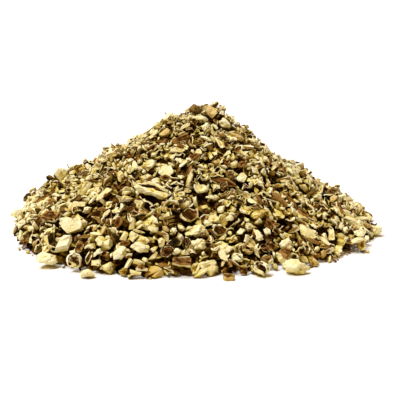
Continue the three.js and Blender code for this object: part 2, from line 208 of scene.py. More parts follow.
def roughen(bm, rng, reach, size):  # moves the surface by up to about reach, in swellings of that size
    shift = anyShift(rng)
    for vert in bm.verts:
        vert.co += noise.noise_vector(vert.co / size + shift) * reach


def bendRound(bm, bend, along):  # bends the form along x or y, its upper side outwards, or inwards below 0
    for vert in bm.verts:
        angle = vert.co[along] * bend
        radius = 1 / bend + vert.co.z
        vert.co[along] = radius * math.sin(angle)
        vert.co.z = radius * math.cos(angle) - 1 / bend


# A hollow, as where a side root broke off or a chip shrank in drying, with that much bark in its inner part
def dent(bm, skin, way, width, depth, cover):
    for vert in bm.verts:
        near = max(0, 1 - (vert.co.normalized() - way).length / width)
        vert.co *= 1 - depth * math.sin(near * math.pi / 2)
        vert[skin] = max(vert[skin], cover * min(1, near * 3))


# Where a setting is a pair of whole numbers, the first is for small chips, of which there are thousands, and
# the second for large ones. Other pairs are ranges to draw from.
lumpForm = {
    "detail": (2, 3),  # how finely the ball that it starts from is divided
    "swell": 0.6, "swells": 1.2,  # broad swellings: their height, and how many there are to a unit
    "knobs": 0.95, "knobSize": 0.45,  # height and size of the finer swellings
    "cuts": 1, "cutReach": (0.45, 0.8),  # flat cuts, and how far from the middle they lie
    "dentWidth": (0.6, 1.0), "dentDepth": (0.3, 0.65),  # its one hollow
}
chunkForm = {
    "detail": (2, 3),
    "skinStart": 0.3,  # share of its height from which bark covers it
    "cuts": (5, 7), "cutReach": (0.42, 0.85),
    "rough": 0.24, "roughSize": 0.5,  # height and size of its unevenness
    "dentWidth": (0.4, 0.9), "dentDepth": (0.2, 0.55),
}
plankForm = {
    "grid": (1, 3),  # how often each edge is divided
    "skinStart": 0.5,
    "endReach": (0.5, 0.85), "sideReach": (0.6, 0.95),  # where the ends and the sides are cut
    "skew": 0.7, "sideSkew": 0.3,  # how far from square the cuts are
    "rough": 0.2, "roughSize": 0.6,
}
plateForm = {
    "along": (5, 9), "across": (4, 7),  # how finely it is divided
    "cuts": (4, 6), "cutReach": (0.58, 0.98),
    "cutWander": 0.35,  # how far the cuts are from evenly round, as a share of the step between two
    "wall": 0.2,
    "ragged": 0.24, "tears": 2.2,  # the edge: how far it wanders, and how often to a unit
    "wave": 0.3, "waves": 1.4, "waveBelow": 0.3,  # the faces: height, how often, and share of it below
    "rimSkin": (-0.1, 0.8), "lip": 0.1,  # bark left at the rim, and how far the rim stands up
}
stickForm = {
    "along": (3, 6),
    "skinStart": 0.4,
    "slim": 0.25,  # its width and thickness before it is scaled to a chip, for the bend's sake
    "taper": (0.3, 0.9), "taperCurve": 2.5,
    "cuts": (1, 2), "cutReach": (0.55, 0.9), "cutSlant": 0.25,  # low, so that the cuts run lengthwise
    "rough": 0.24, "roughSize": 0.7,
}
stripForm = {
    "along": 16, "across": 10, "wall": 0.35, "taper": 0.4,
    "grooveAt": 0.42, "grooveWidth": 0.36, "grooveDepth": 0.12, "grooveSkin": 0.9,  # grooveAt is across it
    "rough": 0.2, "roughSize": 0.45,
    "bend": 0.25, "cup": 0.3,
}
ringForm = {
    "sides": (7, 9), "tall": 0.9, "topWidth": (0.8, 1),
    "wall": (0.3, 0.45), "deep": (0.25, 0.6),  # how thick its wall is, and how deep its hole
    "holeRim": 0.06, "underInset": 0.4,
    "skin": 0.45,  # a trace of bark all over, and more in the hole
    "rough": 0.4, "roughSize": 0.6,
}
crumbForm = {"detail": 1, "jitter": 0.34}  # jitter moves each corner in or out


def makeLump(rng, large, skinned, look=lumpForm):  # a rounded, knobbly piece of pith
    bm, skin = startForm()
    bmesh.ops.create_icosphere(bm, subdivisions=look["detail"][large], radius=1)
    shift = anyShift(rng)
    for vert in bm.verts:
        way = vert.co.normalized()
        swell = noise.noise(way * look["swells"] + shift)
        # A knob for each cell of the noise
        knob = -0.5 * noise.noise(way / look["knobSize"] + shift, noise_basis="VORONOI_F1")
        vert.co = way * (1 + look["swell"] * swell + look["knobs"] * knob)
    for _ in range(look["cuts"]):
        way = anyDirection(rng)
        cutAway(bm, way * rng.uniform(*look["cutReach"]), way)
    dent(bm, skin, anyDirection(rng), rng.uniform(*look["dentWidth"]), rng.uniform(*look["dentDepth"]),
         skinned)
    if "grit" in look:
        roughen(bm, rng, *look["grit"])
    return bm


def makeChunk(rng, large, skinned, look=chunkForm):  # a piece with several cut faces
    bm, skin = startForm()
    bmesh.ops.create_icosphere(bm, subdivisions=look["detail"][large], radius=1)
    if skinned:
        coverSide(bm, skin, Vector((0, 0, 1)), look["skinStart"])
    for _ in range(look["cuts"][large]):
        way = anyDirection(rng)
        cutAway(bm, way * rng.uniform(*look["cutReach"]), way)
    bmesh.ops.triangulate(bm, faces=bm.faces)
    roughen(bm, rng, look["rough"], look["roughSize"])
    dent(bm, skin, anyDirection(rng), rng.uniform(*look["dentWidth"]), rng.uniform(*look["dentDepth"]), 0)
    if "grit" in look:
        roughen(bm, rng, *look["grit"])
    return bm


def makePlank(rng, large, skinned, look=plankForm):  # a block split off lengthwise
    bm, skin = startForm()
    bmesh.ops.create_cube(bm, size=2)
    bmesh.ops.subdivide_edges(bm, edges=bm.edges[:], cuts=look["grid"][large], use_grid_fill=True)
    if skinned:
        coverSide(bm, skin, Vector((0, 0, 1)), look["skinStart"])
    skew, sideSkew = look["skew"], look["sideSkew"]
    for side in (-1, 1):
        way = Vector((side, rng.uniform(-skew, skew), rng.uniform(-skew, skew))).normalized()
        cutAway(bm, way * rng.uniform(*look["endReach"]), way)
        way = Vector((rng.uniform(-sideSkew, sideSkew), side, rng.uniform(-skew, skew))).normalized()
        cutAway(bm, way * rng.uniform(*look["sideReach"]), way)
    bmesh.ops.triangulate(bm, faces=bm.faces)
    roughen(bm, rng, look["rough"], look["roughSize"])
    return bm


# A flake, a shell or a curl: a thin plate with its own share of bark on each face, bent along x and y
def makePlate(rng, large, upperSkin, lowerSkin, bends, look=plateForm):
    bm, skin = startForm()
    bmesh.ops.create_grid(bm, x_segments=look["along"][large], y_segments=look["across"][large], size=1)
    turn = rng.uniform(0, math.pi)
    cuts = look["cuts"][large]
    for step in range(cuts):
        wander = rng.uniform(-look["cutWander"], look["cutWander"])
        angle = turn + (step + wander) * 2 * math.pi / cuts
        way = Vector((math.cos(angle), math.sin(angle), 0))
        cutAway(bm, way * rng.uniform(*look["cutReach"]), way, closed=False)
    shift = anyShift(rng)
    rimSkin = rng.uniform(*look["rimSkin"])
    for vert in bm.verts:
        drift = noise.noise_vector(vert.co * look["tears"] + shift) * look["ragged"]
        vert.co += Vector((drift.x, drift.y, look["lip"] if vert.is_boundary else 0))
        vert[skin] = rimSkin if vert.is_boundary else 1
    bmesh.ops.solidify(bm, geom=bm.faces[:], thickness=look["wall"])
    middle = (min(vert.co.z for vert in bm.verts) + max(vert.co.z for vert in bm.verts)) / 2
    for vert in bm.verts:
        upper = vert.co.z > middle
        vert[skin] *= upperSkin if upper else lowerSkin
        thickness = noise.noise(vert.co * look["waves"] - shift) * look["wave"]
        vert.co.z += thickness if upper else thickness * look["waveBelow"]
    for along, bend in enumerate(bends):
        if bend:
            bendRound(bm, bend, along)
    return bm


def makeStrip(rng, look=stripForm):  # a long slip of pith with a brown groove along it
    bm, skin = startForm()
    bmesh.ops.create_grid(bm, x_segments=look["along"], y_segments=look["across"], size=1)
    bmesh.ops.solidify(bm, geom=bm.faces[:], thickness=look["wall"])
    for vert in bm.verts:
        side = abs(vert.co.y - look["grooveAt"])
        slim = 1 - look["taper"] * abs(vert.co.x) ** 2
        groove = max(0, 1 - side / look["grooveWidth"])
        if vert.co.z > -look["wall"] / 2:
            vert[skin] = groove * look["grooveSkin"]
            vert.co.z -= look["grooveDepth"] * groove
        vert.co.y *= slim
    roughen(bm, rng, look["rough"], look["roughSize"])
    bendRound(bm, look["bend"], 0)
    bendRound(bm, -look["cup"], 1)
    return bm


def lengthwiseEdges(bm):
    return [edge for edge in bm.edges if abs(edge.verts[0].co.x - edge.verts[1].co.x) > 1]


def makeStick(rng, large, skinned, bend=0.2, look=stickForm):  # a splinter or a rootlet
    bm, skin = startForm()
    bmesh.ops.create_cube(bm, size=2)
    lengthwise = lengthwiseEdges(bm)
    around = [edge for edge in bm.edges if edge not in lengthwise]
    bmesh.ops.subdivide_edges(bm, edges=around, cuts=1, use_grid_fill=True)
    bmesh.ops.subdivide_edges(bm, edges=lengthwiseEdges(bm), cuts=look["along"][large])
    if skinned:
        coverSide(bm, skin, Vector((0, 0, 1)), look["skinStart"])
    for _ in range(look["cuts"][large]):
        way = anyDirection(rng)
        way.x *= look["cutSlant"]
        cutAway(bm, way * rng.uniform(*look["cutReach"]), way)
    ends = [rng.uniform(*look["taper"]) for _ in range(2)]
    for vert in bm.verts:
        slim = 1 - (ends[0] if vert.co.x < 0 else ends[1]) * abs(vert.co.x) ** look["taperCurve"]
        vert.co.y *= slim
        vert.co.z *= slim
    roughen(bm, rng, look["rough"], look["roughSize"])
    bmesh.ops.scale(bm, vec=(1, look["slim"], look["slim"]), verts=bm.verts)
    bendRound(bm, bend, 0)
    return bm


def makeRing(rng, large, look=ringForm):  # a slice of a hollow root
    bm, skin = startForm()
    bmesh.ops.create_cone(bm, segments=look["sides"][large], radius1=1,
                          radius2=rng.uniform(*look["topWidth"]), depth=look["tall"], cap_ends=True)
    for vert in bm.verts:
        vert[skin] = look["skin"]
    top = max(bm.faces, key=lambda face: face.calc_center_median().z)
    bmesh.ops.inset_region(bm, faces=[top], thickness=rng.uniform(*look["wall"]))
    bmesh.ops.inset_region(bm, faces=[top], thickness=look["holeRim"], depth=-rng.uniform(*look["deep"]))
    bottom = min(bm.faces, key=lambda face: face.calc_center_median().z)
    bmesh.ops.inset_region(bm, faces=[bottom], thickness=look["underInset"])
    for vert in top.verts:
        vert[skin] = 1
    if large:
        bmesh.ops.subdivide_edges(bm, edges=bm.edges[:], cuts=1, use_grid_fill=True)
    roughen(bm, rng, look["rough"], look["roughSize"])
    return bm


def makeCrumb(rng, look=crumbForm):
    bm = startForm()[0]
    bmesh.ops.create_icosphere(bm, subdivisions=look["detail"], radius=1)
    for vert in bm.verts:
        vert.co *= 1 + rng.uniform(-look["jitter"], look["jitter"])
    return bm


# The 26 directions to the sides, edges and corners of a cube, in which a form's reach is measured
reachDirections = np.array([(x, y, z) for x in (-1, 0, 1) for y in (-1, 0, 1) for z in (-1, 0, 1)
                            if (x, y, z) != (0, 0, 0)], float)


def edgeOf(vert):  # how sharply the form stands out at a vertex, below 0 in a hollow
    slopes = [(vert.co - edge.other_vert(vert).co).normalized() @ vert.normal for edge in vert.link_edges]
    return sum(slopes) / len(slopes)


def asForm(bm):
    skin = bm.verts.layers.float["skin"]
    low = Vector([min(vert.co[axis] for vert in bm.verts) for axis in range(3)])
    high = Vector([max(vert.co[axis] for vert in bm.verts) for axis in range(3)])
    bmesh.ops.translate(bm, vec=-(low + high) / 2, verts=bm.verts)
    bmesh.ops.scale(bm, vec=[2 / (high[axis] - low[axis]) for axis in range(3)], verts=bm.verts)
    bmesh.ops.triangulate(bm, faces=bm.faces)
    bmesh.ops.recalc_face_normals(bm, faces=bm.faces)
    bm.verts.index_update()
    points = np.array([vert.co[:] for vert in bm.verts])
    triangles = np.array([[vert.index for vert in face.verts] for face in bm.faces])
    skins = np.array([vert[skin] for vert in bm.verts])
    bm.normal_update()
    edges = np.array([edgeOf(vert) for vert in bm.verts])
    bm.free()
    return {"points": points, "triangles": triangles, "skin": skins, "edge": edges,
            "reach": (points @ reachDirections.T).max(axis=0)}


thinPlate = plateForm | {"wall": 0.16, "lip": 0.04}  # of peels and curls

# Each kind of form: how one is made, and how many different ones there are
formMakers = {
    "lump": (lambda rng, i, large: makeLump(rng, large, 0.9 * (i % 2)), 28),
    "chunk": (lambda rng, i, large: makeChunk(rng, large, i % 2 == 0), 28),
    "plank": (lambda rng, i, large: makePlank(rng, large, i % 4 > 0), 20),
    "flake": (lambda rng, i, large: makePlate(rng, large, 1, i % 2, (0.2, rng.uniform(0.1, 0.6))), 18),
    "bareFlake": (lambda rng, i, large: makePlate(rng, large, 0, 0, (0.2, rng.uniform(0.1, 0.6))), 14),
    "shell": (lambda rng, i, large: makePlate(rng, large, i % 2, (i + 1) % 2,
                                              (0.4, rng.uniform(0.7, 1.3))), 16),
    "peel": (lambda rng, i, large: makePlate(rng, large, i % 2, i % 3 == 0, (0.3, rng.uniform(1.3, 1.8)),
                                             thinPlate), 16),
    "curl": (lambda rng, i, large: makePlate(rng, large, i % 2, 0,
                                             (rng.uniform(0.8, 1.5), 0), thinPlate), 12),
    "stick": (lambda rng, i, large: makeStick(rng, large, i % 2, rng.uniform(0.1, 0.5)), 16),
    "ring": (lambda rng, i, large: makeRing(rng, large), 6),
    "crumb": (lambda rng, i, large: makeCrumb(rng), 16),
}
largeFrom = 5.4  # the length in millimetres from which a chip has the finer form

forms = {}
for kindIndex, (kind, (maker, count)) in enumerate(formMakers.items()):
    for large in (False, True):
        forms[kind, large] = [asForm(maker(random.Random(100 * kindIndex + i), i, large))
                              for i in range(count)]
        faces = [len(form["triangles"]) for form in forms[kind, large]]
        print("form", kind, "large" if large else "small", count, "with", sum(faces) // count, "triangles")


# The heap's own surface, read from the frame as heights over a grid

heapGrid = {
    "cell": 0.5,
    "half": 92,  # the grid reaches this far each way from the heap's middle
    "rayStep": 1.5,  # spacing of the rays that read the heap's surface
    "soften": 3.2,  # blurs its facets into one slope
    "humpSoften": 1.2,  # a finer blur, under which its higher humps and its peak are kept
    "humpSunk": 0.7,  # how far the humps are lowered
    "edgeSoften": 1.2,  # rounds the line of the foot
    "leastHeight": 0.5,  # the heap ends where it is lower
    "slopeSoften": 4.0,  # for the slope that the chips lie along
    "chipSoften": 1.3,  # for how deep a chip lies among the others
    "coreDepth": 8.0,  # how far under the slope the chips start
}
cell = heapGrid["cell"]
gridSize = int(2 * heapGrid["half"] / cell)
gridAxis = (np.arange(gridSize) + 0.5) * cell - heapGrid["half"]
gridX, gridY = np.meshgrid(gridAxis, gridAxis, indexing="ij")


def blurred(heights, spread):
    wave = np.fft.fftfreq(gridSize, cell) * 2 * math.pi
    keep = np.exp(-(wave[:, None] ** 2 + wave[None, :] ** 2) * spread ** 2 / 2)
    return np.fft.ifft2(np.fft.fft2(heights) * keep).real


def readHeights(node):
    mesh = frame["nodes"][node].data
    points = [vert.co / mm for vert in mesh.vertices]
    tree = BVHTree.FromPolygons(points, [list(face.vertices) for face in mesh.polygons])
    coarse = np.arange(-heapGrid["half"], heapGrid["half"] + 1e-6, heapGrid["rayStep"])
    found = np.zeros((len(coarse), len(coarse)))
    for i, x in enumerate(coarse):
        for j, y in enumerate(coarse):
            hit = tree.ray_cast(Vector((x, y, 200)), Vector((0, 0, -1)))[0]  # from well above the heap
            found[i, j] = hit.z if hit else 0
    at = (gridAxis + heapGrid["half"]) / heapGrid["rayStep"]
    low = np.clip(np.floor(at).astype(int), 0, len(coarse) - 2)
    part = at - low
    rows = found[low, :] * (1 - part)[:, None] + found[low + 1, :] * part[:, None]
    return rows[:, low] * (1 - part)[None, :] + rows[:, low + 1] * part[None, :]


rawSurface = readHeights("packed_heap")
onHeap = blurred((rawSurface > heapGrid["leastHeight"]).astype(float), heapGrid["edgeSoften"]) > 0.5
humps = blurred(rawSurface, heapGrid["humpSoften"]) - heapGrid["humpSunk"]
surface = np.where(onHeap, np.maximum(blurred(rawSurface, heapGrid["soften"]), humps), 0)
slopeX, slopeY = np.gradient(blurred(surface, heapGrid["slopeSoften"]), cell)
print("heap surface read: peak", round(float(surface.max()), 1), "mm")


# The loose chips, each with a form of its own, in the place and turn of its node. They can be told apart, so
# their forms are finer. Grit is their fine relief, as its height and its size.

smoothLump = lumpForm | {
    "detail": (3, 4), "swell": 0.4, "knobs": 0.4, "cutReach": (0.7, 0.85), "dentDepth": (0.1, 0.3),
    "grit": (0.06, 0.22),
}
knobblyLump = lumpForm | {"detail": (3, 4), "knobs": 0.8, "knobSize": 0.7, "cuts": 2, "grit": (0.07, 0.25)}
looseChunk = chunkForm | {
    "detail": (3, 4), "rough": 0.26, "dentWidth": (0.6, 1.0), "dentDepth": (0.3, 0.5), "grit": (0.07, 0.2),
}
loosePlank = plankForm | {
    "grid": (1, 4), "skew": 1.1, "endReach": (0.45, 0.85), "rough": 0.3, "roughSize": 0.45,
}
leafForm = plateForm | {
    "along": (9, 14), "across": (7, 11), "wall": 0.3, "ragged": 0.16, "rimSkin": (-0.3, -0.2),
}
slabForm = leafForm | {"cuts": (7, 8), "cutReach": (0.75, 0.95), "lip": 0.03, "wall": 0.4, "wave": 0.12}
bowlForm = slabForm | {"lip": 0.05, "wall": 0.22, "wave": 0.16, "ragged": 0.1}
knotForm = ringForm | {"wall": (0.4, 0.5), "deep": (0.1, 0.15)}
hoopForm = ringForm | {"wall": (0.45, 0.5), "deep": (0.4, 0.5)}

looseMakers = {
    "smoothLump": lambda rng: makeLump(rng, True, 0, smoothLump),
    "knobblyLump": lambda rng: makeLump(rng, True, 0.9, knobblyLump),
    "chunk": lambda rng: makeChunk(rng, True, 0, looseChunk),
    "cube": lambda rng: makePlank(rng, True, 0, loosePlank),
    "plank": lambda rng: makePlank(rng, True, 1, loosePlank),
    "leaf": lambda rng: makePlate(rng, True, 0, 0, (0, 0.2), leafForm),
    "barkLeaf": lambda rng: makePlate(rng, True, 1, 0, (0, 0), slabForm),
    "scoop": lambda rng: makePlate(rng, True, 1, 0, (-0.2, -1.2), bowlForm),
    "mottledBowl": lambda rng: makePlate(rng, True, 0.42, 0, (-0.5, -0.9), bowlForm | {"wall": 0.3}),
    "paleScoop": lambda rng: makePlate(rng, True, 0.2, 0, (-0.4, -1.1), bowlForm),
    "dome": lambda rng: makePlate(rng, True, 0, 1, (0.5, 0.9), bowlForm),
    "crescent": lambda rng: makePlate(rng, True, 0, 0.5, (1.3, 0), thinPlate),
    "strip": lambda rng: makeStrip(rng),
    "stick": lambda rng: makeStick(rng, True, 1),
    "knot": lambda rng: makeRing(rng, True, knotForm),
    "hoop": lambda rng: makeRing(rng, True, hoopForm),
}
towardsCamera = (0, -0.94, 0.34)

# Each loose chip: its form, and its tone from 0, dark, to 1, pale. Some have bark on one side, given as the
# way that the side faces and where the bark starts. Some turn their face to the front, some are flattened
# along it by depth, and some are smaller than their node by size.
looseLooks = {
    "apex_dark_chip": {"form": "chunk", "tone": 0.45, "size": 0.76},
    "apex_tan_cube": {"form": "cube", "tone": 0.7, "size": 0.8},
    "curved_pale_strip": {"form": "crescent", "tone": 0.9},
    "upper_pale_chunk": {"form": "knobblyLump", "tone": 0.95},
    "golden_sliver": {"form": "smoothLump", "tone": 0.6},
    "upper_bark_bar": {"form": "plank", "tone": 0.6},
    "upper_pale_bead": {"form": "smoothLump", "tone": 0.95},
    "left_tan_chunk": {"form": "chunk", "tone": 0.8},
    "pale_disc": {"form": "chunk", "tone": 1.0},
    "bark_plank": {"form": "plank", "tone": 0.6},
    "white_wedge": {"form": "chunk", "tone": 1.0},
    "black_chip": {"form": "smoothLump", "tone": 0.0},
    "long_striped_strip": {"form": "strip", "tone": 0.85},
    "right_pale_leaf": {"form": "leaf", "tone": 0.95},
    "middle_bark_strip": {"form": "stick", "tone": 0.3},
    "middle_pale_chunk": {"form": "chunk", "tone": 0.95},
    "pale_cupped_shell": {"form": "paleScoop", "tone": 0.95},
    "cupped_bark_shell": {"form": "scoop", "tone": 0.9},
    "pale_fan": {"form": "leaf", "tone": 1.0, "bark": ((-1, 0, 0), 0.6)},
    "small_bark_shell": {"form": "scoop", "tone": 0.8},
    "knobbly_pale_lump": {"form": "knobblyLump", "tone": 1.0},
    "flower_lump": {"form": "knobblyLump", "tone": 0.95},
    "pale_hexagon": {"form": "leaf", "tone": 1.0, "front": towardsCamera},
    "front_left_pale_lump": {"form": "smoothLump", "tone": 1.0},
    "front_left_pale_egg": {"form": "smoothLump", "tone": 0.9},
    "bark_octagon": {"form": "barkLeaf", "tone": 0.6, "front": towardsCamera, "depth": 0.7},
    "front_bark_plank": {"form": "plank", "tone": 0.55, "front": towardsCamera},
    "almond_chip": {"form": "barkLeaf", "tone": 0.6, "front": towardsCamera},
    "bark_and_pale_oval": {"form": "smoothLump", "tone": 1.0, "bark": ((-1, -0.3, 0), 0.3)},
    "right_round_lump": {"form": "smoothLump", "tone": 0.8},
    "marbled_chunk": {"form": "chunk", "tone": 0.8, "bark": ((0.2, -0.6, 1), 0.2)},
    "right_curved_shell": {"form": "dome", "tone": 0.7},
    "right_bark_slab": {"form": "plank", "tone": 0.6},
    "dark_knot": {"form": "knot", "tone": 0.7, "front": towardsCamera},
    "front_pale_lump": {"form": "smoothLump", "tone": 0.75},
    "pale_ring": {"form": "hoop", "tone": 0.95, "front": towardsCamera},
    "left_bark_block": {"form": "plank", "tone": 0.35},
    "left_bark_plank": {"form": "plank", "tone": 0.5},
    "left_pale_boulder": {"form": "chunk", "tone": 0.95},
    "left_pale_block": {"form": "chunk", "tone": 0.85},
    "hollow_shell": {"form": "mottledBowl", "tone": 1.0, "front": towardsCamera, "depth": 0.5},
    "square_pale_chip": {"form": "cube", "tone": 1.0},
    "right_tan_slab": {"form": "smoothLump", "tone": 0.8},
    "right_bark_flake": {"form": "plank", "tone": 0.5},
    "foot_large_oval": {"form": "smoothLump", "tone": 0.95},
    "foot_bead": {"form": "smoothLump", "tone": 0.9},
    "foot_dome_chip": {"form": "dome", "tone": 0.9},
    "foot_triangle_chip": {"form": "chunk", "tone": 0.9, "bark": ((-1, 0, -0.6), 0.1)},
    "foot_knobbly_lump": {"form": "knobblyLump", "tone": 0.9},
    "foot_cored_chip": {"form": "knot", "tone": 0.95, "front": towardsCamera},
    "foot_left_wedge": {"form": "chunk", "tone": 0.9},
    "foot_front_flake": {"form": "barkLeaf", "tone": 0.9},
    "foot_right_lump": {"form": "smoothLump", "tone": 0.9},
    "foot_left_lump": {"form": "knobblyLump", "tone": 0.8},
    "back_pale_lump": {"form": "knobblyLump", "tone": 0.95},
    "back_bark_flake": {"form": "barkLeaf", "tone": 0.5},
    "back_pale_chunk": {"form": "chunk", "tone": 0.9},
    "back_bark_splinter": {"form": "stick", "tone": 0.6},
    "back_pale_flake": {"form": "leaf", "tone": 0.95},
}
stuffOf = {part["node"]: part["material_slot"] for part in frame["record"]["subparts"]}


def volumeOf(points, triangles):
    corners = points[triangles]
    return abs(np.einsum("ij,ij->i", corners[:, 0], np.cross(corners[:, 1], corners[:, 2])).sum()) / 6


def chipFrame(node, front, depth):  # where a node's chip lies, how it is turned and how large it is
    mesh = frame["nodes"][node].data
    mesh.calc_loop_triangles()
    points = np.array([vert.co[:] for vert in mesh.vertices]) / mm
    volume = volumeOf(points, np.array([triangle.vertices[:] for triangle in mesh.loop_triangles]))
    points = np.unique(np.round(points, 4), axis=0)
    middle = points.mean(axis=0)
    axes = np.linalg.svd(points - middle, full_matrices=False)[2]
    outward = np.array([middle[0], middle[1], 60.0])  # mostly up, and away from the heap's middle
    if front:
        axes[2] = np.array(front) / np.linalg.norm(front)
        axes[0] -= axes[2] * (axes[0] @ axes[2])
        axes[0] /= np.linalg.norm(axes[0])
    elif axes[2] @ outward < 0:
        axes[2] *= -1
    axes[1] = np.cross(axes[2], axes[0])
    along = (points - middle) @ axes.T
    low, high = along.min(axis=0), along.max(axis=0)
    return {
        "place": middle + (low + high) / 2 @ axes, "turn": axes.T,
        "half": (high - low) / 2 * np.array([1, 1, depth]), "volume": volume,
    }


def looseForm(node, look, chip):
    bm = looseMakers[look["form"]](random.Random(sum(map(ord, node))))  # each node's own draws, by its name
    if "bark" in look:
        way, start = look["bark"]
        inForm = Vector(chip["turn"].T @ np.array(way) * chip["half"]).normalized()
        coverSide(bm, bm.verts.layers.float["skin"], inForm, start)
    return asForm(bm)


# Pouring: each chip is dropped onto the heights so far, in the one of a few turns with least room under it

pour = {
    "seed": 7,
    "sinkShare": 0.06,  # share of a chip's footprint that may press into what is under it
    "sizeAtTop": 0.42,  # what lengths are scaled by at the top, and at the foot
    "sizeAtFoot": 1.25,
    "sizeCurve": 0.6,  # below 1, the chips get larger soon below the top
    "footRadius": 72,
    "smallBias": 2.1,  # above 1, short chips are more common than long ones
    "humpSize": 3.0,  # the slope is uneven by humps of this size and height
    "humpHeight": 0.9,
    "clearOfFoot": 20,  # the target is this far under the floor outside the foot, so nothing is poured there
    "apexSunk": 1.4,  # the top is lower by this much, over this radius
    "apexRadius": 9,
    "patchSize": 4.0,  # bark and pith lie in patches of this size
    "patchShare": 0.75,  # how much more of one there is in its patches
}

# What the heap is made of: form, stuff, share at the top and at the foot, length in millimetres, before it
# is scaled for its place, and width and thickness as shares of the length
chipMix = [
    ("lump", "pale_pith", 9, 11, (2.2, 6.2), (0.65, 0.95), (0.5, 0.8)),
    ("chunk", "pale_pith", 9, 8, (2.2, 5.8), (0.5, 0.85), (0.35, 0.65)),
    ("bareFlake", "pale_pith", 15, 14, (2.8, 6.4), (0.5, 0.9), (0.14, 0.26)),
    ("shell", "pale_pith", 9, 10, (3.0, 6.6), (0.5, 0.9), (0.3, 0.5)),
    ("peel", "pale_pith", 12, 10, (3.0, 6.4), (0.5, 0.8), (0.3, 0.5)),
    ("curl", "pale_pith", 6, 6, (3.4, 6.4), (0.25, 0.5), (0.4, 0.6)),
    ("stick", "pale_pith", 8, 6, (3.6, 8.0), (0.2, 0.34), (0.14, 0.26)),
    ("ring", "pale_pith", 0.5, 0.8, (3.0, 5.0), (0.8, 1.0), (0.4, 0.6)),
    ("chunk", "tan_pith", 4, 4, (2.4, 5.0), (0.5, 0.8), (0.3, 0.6)),
    ("lump", "tan_pith", 2, 2, (2.2, 4.2), (0.6, 0.9), (0.5, 0.8)),
    ("flake", "brown_bark", 8, 12, (3.4, 7.4), (0.4, 0.75), (0.2, 0.34)),
    ("shell", "brown_bark", 5, 9, (3.0, 6.4), (0.45, 0.8), (0.3, 0.45)),
    ("plank", "brown_bark", 9, 17, (3.4, 8.0), (0.35, 0.6), (0.22, 0.4)),
    ("chunk", "brown_bark", 4, 6, (2.8, 5.8), (0.5, 0.8), (0.35, 0.6)),
    ("stick", "brown_bark", 8, 7, (3.8, 8.5), (0.2, 0.36), (0.16, 0.28)),
    ("flake", "dark_bark", 4, 3, (2.6, 5.2), (0.5, 0.9), (0.2, 0.35)),
    ("stick", "dark_bark", 4, 3, (3.5, 9.0), (0.12, 0.22), (0.1, 0.18)),
    ("chunk", "dark_bark", 3, 3, (2.4, 4.4), (0.6, 0.9), (0.45, 0.7)),
]
crumbMix = [
    ("stick", "pale_pith", 16, 12, (1.8, 4.0), (0.14, 0.26), (0.1, 0.2)),
    ("stick", "brown_bark", 12, 9, (1.8, 4.0), (0.14, 0.26), (0.1, 0.2)),
    ("stick", "dark_bark", 6, 4, (2.0, 4.6), (0.1, 0.18), (0.08, 0.14)),
    ("bareFlake", "pale_pith", 14, 14, (1.4, 2.8), (0.5, 0.9), (0.14, 0.26)),
    ("flake", "brown_bark", 6, 6, (1.4, 2.8), (0.5, 0.9), (0.14, 0.26)),
    ("crumb", "pale_pith", 46, 46, (0.9, 2.4), (0.6, 0.95), (0.5, 0.85)),
    ("crumb", "tan_pith", 18, 18, (0.9, 2.0), (0.6, 0.95), (0.5, 0.85)),
    ("crumb", "brown_bark", 20, 20, (0.9, 2.2), (0.4, 0.8), (0.3, 0.6)),
    ("crumb", "dark_bark", 16, 16, (0.8, 2.2), (0.3, 0.8), (0.3, 0.6)),
]

# The three layers, each poured up to a target height
deepLayer = {
    "sunk": 4.2,  # how far the target lies under the slope
    "underLoose": 0.3,  # and how far at least under a loose chip
    "rounds": 2,  # how often the places that are still too low are gone through
    "least": 1.0,  # how far under the target a place must be to get a chip
    "tries": 3,  # turns that are tried for a chip
    "tilt": 32,  # degrees that chips lean from the slope
    "overlap": 1,  # share of a chip that may lie over a loose one
    "proud": 1.0,  # how far a chip may stand above the target
    "rest": 1.0,  # a place within this of a chip that didn't fit is left until the next round
    "sparseAtFoot": 0,  # share of places that stay empty at the foot
}
outerLayer = deepLayer | {"sunk": 0, "rounds": 3, "least": 2.0, "tries": 2, "tilt": 55, "overlap": 0.08,
                          "proud": 1.7, "rest": 0.6}
crumbLayer = deepLayer | {"sunk": 0.2, "rounds": 1, "tries": 2, "tilt": 40, "overlap": 0.25, "rest": 0.5,
                          "sparseAtFoot": 0.8}

rng = np.random.default_rng(pour["seed"])


# How low and how high a turned chip reaches over each cell: it is taken as what lies inside its 26 reaches
def surfacesOf(form, half, turn, offsetX, offsetY):
    ways = (reachDirections / half) @ turn.T
    side = ways[:, 2]
    room = form["reach"][:, None, None] - ways[:, 0, None, None] * offsetX - ways[:, 1, None, None] * offsetY
    upper = side > 1e-4
    lower = side < -1e-4
    over = (room[upper] / side[upper, None, None]).min(axis=0)
    under = (room[lower] / side[lower, None, None]).max(axis=0)
    return under, over


def turnOnto(normal, spin):
    z = normal / np.linalg.norm(normal)
    x = np.array([math.cos(spin), math.sin(spin), 0.0])
    x -= z * (x @ z)
    x /= np.linalg.norm(x)
    return np.stack([x, np.cross(z, x), z], axis=1)


def windowAt(i, j, radius):
    reach = int(radius / cell) + 2
    low = (max(i - reach, 0), max(j - reach, 0))
    high = (min(i + reach + 1, gridSize), min(j + reach + 1, gridSize))
    return slice(low[0], high[0]), slice(low[1], high[1])


